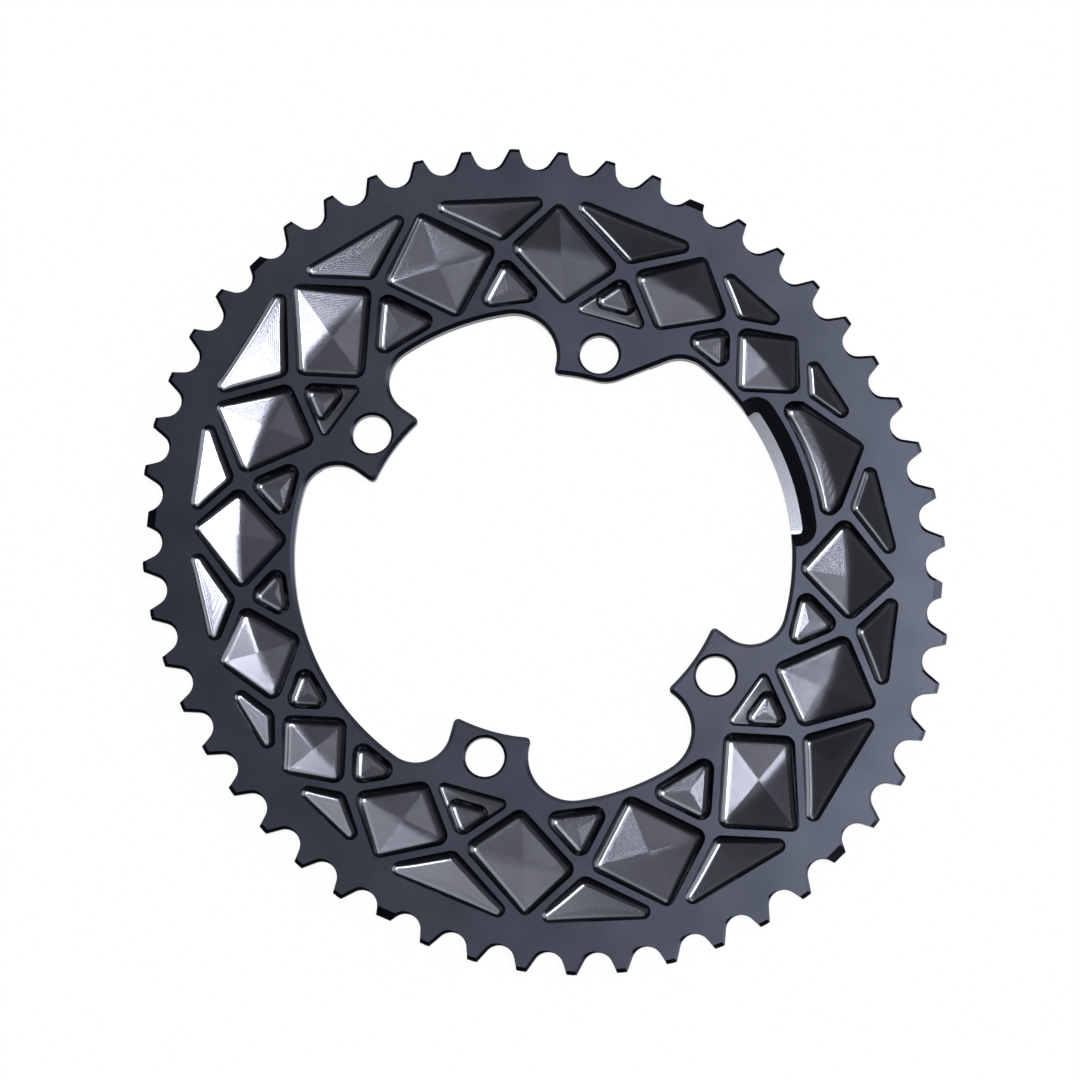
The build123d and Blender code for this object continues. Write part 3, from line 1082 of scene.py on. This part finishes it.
def coved_cutter(name, outline, bottom, radius):
    """A cutter whose lower edge is round, so that it leaves a cove."""
    rows = [[plan_point(place, FRONT + OVERCUT) for place, _ in outline]]
    for step in range(COVE_RINGS + 1):
        slope = math.pi / 2 * (1 - step / COVE_RINGS)
        across = radius * (1 - math.sin(slope))
        height = bottom + radius * (1 - math.cos(slope))
        rows.append([plan_point(place + way * across, height) for place, way in outline])
    return closed_cutter(name, rows, MILLED_SLOT)


def sector_corners(inner, outer, angle, half_angle):
    """Corners of a ring sector, anticlockwise."""
    corners = [cmath.rect(inner, angle + half_angle), cmath.rect(inner, angle - half_angle)]
    start, end = cmath.rect(outer, angle - half_angle), cmath.rect(outer, angle + half_angle)
    return corners, start, end


print("cutters reach", OVERCUT / MM, "mm past the faces")

# %% Crank arm relief
RELIEF_RADIUS = INNER_RADIUS + 6.7 * MM
RELIEF_LEDGE = 1.3 * MM
RELIEF_WALL = 3.6 * MM
RELIEF_RISE = math.radians(3.5)
RELIEF_CORNER = 5.0 * MM


def relief_cutter():
    """Step in the front that clears the crank arm."""
    corners, start, end = sector_corners(INNER_RADIUS / 2, RELIEF_RADIUS, 0, ARM_HALF_ANGLE)
    curve = arc(0j, start, end)
    skip = round(RELIEF_CORNER / ARC_STEP) + 1
    curve = curve[skip:-skip]
    places = corners + [start] + curve + [end]
    radii = [0, 0, RELIEF_CORNER] + [0] * len(curve) + [RELIEF_CORNER]
    outline = rounded(places, radii)
    lift = OVERCUT * RELIEF_WALL / (FRONT - RELIEF_LEDGE)
    edge = INNER_RADIUS - RELIEF_CORNER
    lip = RELIEF_LEDGE + (RELIEF_RADIUS - RELIEF_WALL - edge) * math.tan(RELIEF_RISE)
    feet = [place + way * RELIEF_WALL for place, way in outline]
    rows = [
        [plan_point(place - way * lift, FRONT + OVERCUT) for place, way in outline],
        [plan_point(foot, RELIEF_LEDGE) for foot in feet],
        [plan_point(foot * min(1, edge / abs(foot)), lip) for foot in feet],
    ]
    return closed_cutter("relief_cutter", rows, MILLED_SLOT)


cutters = [relief_cutter()]
print("relief cutter with", len(cutters[0].data.polygons), "faces")

# %% Steps, seats and ramps
TAB_CROSSINGS = (2, 5, 10, 13)
SHELF_DEPTH = 1.4 * MM
SHELF_DROP = 2.7 * MM
SHELF_CORNER = 1.6 * MM
SHELF_COVE = 1.2 * MM
SEAT_DEPTH = 0.8 * MM
SEAT_OUTER = INNER_RADIUS + 1.7 * MM
SEAT_INNER = TAB_END - 7.0 * MM
SEAT_HALF_ANGLE = math.radians(14)
RAMP_ANGLES = (math.radians(32), math.radians(58))
RAMP_LENGTH = 24.0 * MM
RAMP_WIDTH = 12.0 * MM
RAMP_TILT = math.radians(2.5)


def shelf_cutter(index):
    """Step that carries an inner triangle on towards a bolt tab."""
    place = crossing(index)
    angle = crossing_angle(index)
    end, start = chord(angle, lambda a: INNER_RADIUS + INNER_RIM - SHELF_DROP)
    past, back = chord(angle, lambda a: FLOOR_EDGE + COVE_RADIUS)
    sides = ribs(place, inner_node(index)) + [(start, end, 0)] + ribs(inner_node(index - 1), place)
    corners = corners_inside(sides + [(past, back, 0)])
    outline = rounded(corners, [SHELF_CORNER * (i in (1, 2)) for i in range(len(corners))])
    return coved_cutter("shelf_cutter", outline, FRONT - SHELF_DEPTH, SHELF_COVE)


def seat_cutter(angle):
    """Recess in the back in which a crank arm seats."""
    corners, start, end = sector_corners(SEAT_INNER, SEAT_OUTER, angle, SEAT_HALF_ANGLE)
    places = corners + arc(0j, start, end)
    rows = [[plan_point(place, height) for place in places] for height in (-OVERCUT, SEAT_DEPTH)]
    return closed_cutter("seat_cutter", rows, SATIN_SLOT)


def ramp_cutter(angle):
    """Shallow ramp behind the teeth that lifts the chain."""
    half_height = TOOTH_BACK / 2
    place = Matrix.Rotation(angle, 4, "Z") @ Matrix.Translation((pitch_radius(angle), 0, half_height))
    place = place @ Matrix.Rotation(RAMP_TILT, 4, "X")
    corners = rectangle(RAMP_WIDTH / 2, RAMP_LENGTH / 2)
    rows = []
    for height in (-half_height, half_height):
        rows.append([place @ plan_point(corner, height) for corner in corners])
    return closed_cutter("ramp_cutter", rows, SATIN_SLOT)


cutters += [shelf_cutter(index) for index in TAB_CROSSINGS]
cutters += [seat_cutter(cmath.phase(place)) for place in BOLT_PLACES]
for turn in (0, math.pi):
    cutters += [ramp_cutter(OVAL_AXIS + angle + turn) for angle in RAMP_ANGLES]
print(len(cutters), "cutters with the steps, seats and ramps")

# %% Short teeth
SHORT_TEETH = (1, 7, 17)
SHORT_TIP = 0.1 * MM
SHORT_START = -2.2 * MM
SHORT_SLOPE = math.radians(28)
SHORT_HALF_WIDTH = 3.4 * MM


def tip_cutter(index):
    """Slanted cut that shortens the tooth after a roller, where the chain is to shift."""
    before, after = ROLLER_ANGLES[index], ROLLER_ANGLES[(index + 1) % TEETH]
    middle = (on_oval(MEAN_RADIUS, before) + on_oval(MEAN_RADIUS, after)) / 2
    out = middle / abs(middle)
    side = out * 1j * SHORT_HALF_WIDTH
    fall = math.tan(SHORT_SLOPE)
    section = [
        (SHORT_START - OVERCUT / fall, FRONT + OVERCUT),
        (SHORT_TIP, FRONT - (SHORT_TIP - SHORT_START) * fall),
        (SHORT_TIP, TOOTH_BACK - OVERCUT),
        (TOOTH_TIP + OVERCUT, TOOTH_BACK - OVERCUT),
        (TOOTH_TIP + OVERCUT, FRONT + OVERCUT),
    ]
    rows = []
    for way in (-side, side):
        rows.append([plan_point(middle + out * reach + way, height) for reach, height in section])
    return closed_cutter("tip_cutter", rows, SATIN_SLOT)


for start in (0, TEETH // 2):
    cutters += [tip_cutter(start + index) for index in SHORT_TEETH]
print(len(cutters), "cutters with the short teeth")

# %% Cutting
def cut(ring, cutters):
    """Cuts the cutters out of the ring, one after another."""
    for cutter in cutters:
        modifier = ring.modifiers.new(cutter.name, "BOOLEAN")
        modifier.operation = "DIFFERENCE"
        modifier.solver = "EXACT"
        modifier.material_mode = "INDEX"
        modifier.object = cutter
    bake(ring)
    for cutter in cutters:
        bpy.data.objects.remove(cutter)


cut(body, cutters)
body.name = "milled_ring"
print("ring after the last cuts has", len(body.data.polygons), "faces")

# %% [markdown]
# ## Crisp edges
#
# A milled edge is crisp, and a cove is round. Smooth shading alone would smear light over the flat
# faces wherever a floor runs out gently, and a Bevel modifier would round every edge. So an edge is
# marked sharp where it bends clearly, and also wherever the satin face meets a milled pocket.

# %% Shading
SHARP_ANGLE = math.radians(24)


def shade(ring):
    """Smooth shading with crisp edges between the finishes."""
    mesh = ring.data
    mesh.shade_smooth()
    mesh.set_sharp_from_angle(angle=SHARP_ANGLE)
    edges = bmesh.new()
    edges.from_mesh(mesh)
    for edge in edges.edges:
        if len({face.material_index for face in edge.link_faces}) > 1:
            edge.smooth = False
    left = sum(1 for edge in edges.edges if not edge.is_manifold)
    edges.to_mesh(mesh)
    edges.free()
    print("shaded, with", left, "edges that aren't closed")


shade(body)

# %% [markdown]
# ## Finishes
#
# Anodising is a thin dyed layer on metal, so both finishes are metallic with a dark colour. The satin
# faces get a fine blasted grain and a faint cloud. The pockets were cut after blasting and look
# lighter and glossier. Modelling the cutter's passes would take millions of faces. Instead, the
# attribute that the pocket tree stored counts them, and a scallop across each goes into the bump.

# %% Material helpers
def start_material(material):
    """A graph on the empty node tree of a material."""
    material.use_nodes = True
    material.node_tree.nodes.clear()
    return Graph(material.node_tree)


def end_material(graph, settings):
    """A Principled shader with its sockets filled, linked to the output."""
    surface = graph.node("ShaderNodeBsdfPrincipled", {}, settings)[0]
    graph.node("ShaderNodeOutputMaterial", {}, {"Surface": surface})


def noise(graph, scale, detail):
    """Noise on Object coordinates."""
    place = graph.output("Object", "ShaderNodeTexCoord")
    inputs = {"Vector": place, "Scale": scale, "Detail": detail}
    return graph.node("ShaderNodeTexNoise", {}, inputs)[0]


def blend(graph, share, first, second):
    """A mix of two colours."""
    return graph.node("ShaderNodeMix", {"data_type": "RGBA"}, {0: share, 1: first, 2: second})[0]


def bump(graph, height, distance):
    """A normal that follows a height."""
    inputs = {"Strength": 1.0, "Distance": distance, "Height": height}
    return graph.node("ShaderNodeBump", {}, inputs)[0]


print("material helpers ready")

# %% Satin faces
SATIN_COLOUR = (0.044, 0.050, 0.070, 1)
SATIN_LIGHT = (0.064, 0.070, 0.092, 1)
SATIN_ROUGHNESS = 0.24
SATIN_SPREAD = 0.06
SATIN_CLOUD = 60.0
CLOUD_DETAIL = 4.0
GRAIN = 0.004 * MM
GRAIN_SCALE = 9000.0
GRAIN_DETAIL = 2.0


def finish_satin():
    """Blasted and anodised faces."""
    graph = start_material(SATIN)
    cloud = noise(graph, SATIN_CLOUD, CLOUD_DETAIL)
    grain = noise(graph, GRAIN_SCALE, GRAIN_DETAIL)
    end_material(graph, {
        "Base Color": blend(graph, cloud, SATIN_COLOUR, SATIN_LIGHT),
        "Metallic": 1.0,
        "Roughness": cloud * SATIN_SPREAD + SATIN_ROUGHNESS,
        "Normal": bump(graph, grain, GRAIN),
    })


finish_satin()
print("satin finish with", len(SATIN.node_tree.nodes), "nodes")

# %% Milled pockets
WALL_COLOUR = (0.124, 0.131, 0.152, 1)
WALL_ROUGHNESS = 0.19
MILLED_COLOUR = (0.108, 0.111, 0.134, 1)
MILLED_ROUGHNESS = 0.20
MILLED_SPREAD = 0.04
MILLED_CLOUD = 90.0
SCALLOP = 0.0105 * MM


def finish_milled():
    """Milled and anodised pockets, with the cutter's passes on their floors."""
    graph = start_material(MILLED)
    cloud = noise(graph, MILLED_CLOUD, CLOUD_DETAIL)
    passes = graph.output("Fac", "ShaderNodeAttribute", {"attribute_name": "pass"})
    floor = (passes * 2).math("MINIMUM", 1.0)
    across = passes.math("FRACT") - 0.5
    scallop = across * across * 4
    roughness = floor * (MILLED_ROUGHNESS - WALL_ROUGHNESS) + WALL_ROUGHNESS
    end_material(graph, {
        "Base Color": blend(graph, floor, WALL_COLOUR, MILLED_COLOUR),
        "Metallic": 1.0,
        "Roughness": roughness + cloud * MILLED_SPREAD,
        "Normal": bump(graph, scallop, SCALLOP),
    })


finish_milled()
print("milled finish with", len(MILLED.node_tree.nodes), "nodes")

# %% [markdown]
# ## Camera
#
# The photograph was taken from above with a long lens, tilted a little. The camera could be placed
# by eye, but then the teeth would never quite line up. So its place, the point that it looks at and
# the direction that is up in the picture were worked out from the teeth and the bolt holes.

# %% Camera
LOOK_AT = Vector((0.60, 3.60, 4.0)) * MM
CAMERA_DISTANCE = 958 * MM
CAMERA_TILT = math.radians(10)
CAMERA_SIDE = math.radians(262.4)
PICTURE_UP = math.radians(70.7)
FOCAL_LENGTH = 122.9
SENSOR_WIDTH = 36


def slant(tilt, side):
    """Direction that leans from straight up towards a side."""
    level = cmath.rect(math.sin(tilt), side)
    return Vector((level.real, level.imag, math.cos(tilt)))


def make_camera():
    """The camera of the photograph."""
    data = bpy.data.cameras.new("camera")
    data.lens = FOCAL_LENGTH
    data.sensor_width = SENSOR_WIDTH
    camera = bpy.data.objects.new("camera", data)
    bpy.context.scene.collection.objects.link(camera)
    back = slant(CAMERA_TILT, CAMERA_SIDE)
    up = Vector((math.cos(PICTURE_UP), math.sin(PICTURE_UP), 0))
    right = up.cross(back).normalized()
    turn = Matrix((right, back.cross(right), back)).transposed()
    camera.matrix_world = Matrix.Translation(LOOK_AT + back * CAMERA_DISTANCE) @ turn.to_4x4()
    bpy.context.scene.camera = camera
    return camera


camera = make_camera()
print("camera at", [round(x / MM, 1) for x in camera.location])

# %% [markdown]
# ## Light and floor
#
# Metal shows what it reflects, so the lamps matter as much as the finish. A soft key lamp stands to
# the right of the camera and a weaker fill above it. A low lamp at the right draws bright lines along
# the pocket walls, and two very weak ones, above and at the left, lift the darkest facets. Large area
# lamps would do as well, but Sun lamps with a wide angle light every pocket alike. The floor is white
# to the camera and keeps a faint shadow.

# %% Lamps and surround
PICTURE_RIGHT = PICTURE_UP - math.pi / 2
WORLD_COLOUR = (0.032, 0.034, 0.042, 1)


def soft_lamp(name, right, up, width, strength):
    """A distant soft lamp, with its width and its angles from straight up in the picture, in degrees."""
    data = bpy.data.lights.new(name, "SUN")
    data.angle = math.radians(width)
    data.energy = strength
    lamp = bpy.data.objects.new(name, data)
    bpy.context.scene.collection.objects.link(lamp)
    level = complex(math.tan(math.radians(right)), math.tan(math.radians(up)))
    level *= cmath.rect(1, PICTURE_RIGHT)
    direction = Vector((level.real, level.imag, 1)).normalized()
    lamp.rotation_mode = "QUATERNION"
    lamp.rotation_quaternion = direction.to_track_quat("Z", "Y")


def make_world():
    """An even dim surround."""
    world = bpy.data.worlds.new("studio")
    bpy.context.scene.world = world
    world.use_nodes = True
    world.node_tree.nodes.clear()
    graph = Graph(world.node_tree)
    light = graph.node("ShaderNodeBackground", {}, {"Color": WORLD_COLOUR, "Strength": 1.0})[0]
    graph.node("ShaderNodeOutputWorld", {}, {"Surface": light})


soft_lamp("key_lamp", right=19, up=5, width=16, strength=2.35)
soft_lamp("fill_lamp", right=12, up=30, width=30, strength=0.36)
soft_lamp("top_lamp", right=8, up=12, width=40, strength=0.08)
soft_lamp("side_lamp", right=62, up=6, width=52, strength=1.25)
soft_lamp("left_lamp", right=-32, up=-4, width=44, strength=0.09)
make_world()
bpy.context.scene.view_settings.view_transform = "Standard"
print("lamps and surround ready")

# %% Floor
FLOOR_HALF = 3.0
FLOOR_DROP = 0.05 * MM
FLOOR_COLOUR = (0.9, 0.9, 0.9, 1)
FLOOR_WHITE = 0.96


def make_floor():
    """A white floor that keeps a faint shadow."""
    corners = [plan_point(corner, -FLOOR_DROP) for corner in rectangle(FLOOR_HALF, FLOOR_HALF)]
    floor = new_piece("floor", corners, faces=[(0, 1, 2, 3)])
    material = bpy.data.materials.new("white_floor")
    floor.data.materials.append(material)
    graph = start_material(material)
    named = {o.socket.name: o for o in graph.node("ShaderNodeLightPath")}
    seen = named["Is Camera Ray"].math("MAXIMUM", named["Is Glossy Ray"])
    seen = seen.math("MAXIMUM", named["Is Transmission Ray"])
    lit = graph.node("ShaderNodeBsdfDiffuse", {}, {"Color": FLOOR_COLOUR})[0]
    white = graph.node("ShaderNodeEmission", {}, {"Color": (1, 1, 1, 1), "Strength": 1.0})[0]
    surface = graph.node("ShaderNodeMixShader", {}, {0: seen * FLOOR_WHITE, 1: lit, 2: white})[0]
    graph.node("ShaderNodeOutputMaterial", {}, {"Surface": surface})


make_floor()
print("floor ready")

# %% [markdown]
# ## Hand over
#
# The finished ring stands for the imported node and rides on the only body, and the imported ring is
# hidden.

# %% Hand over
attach(body, "root")
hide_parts("chainring")
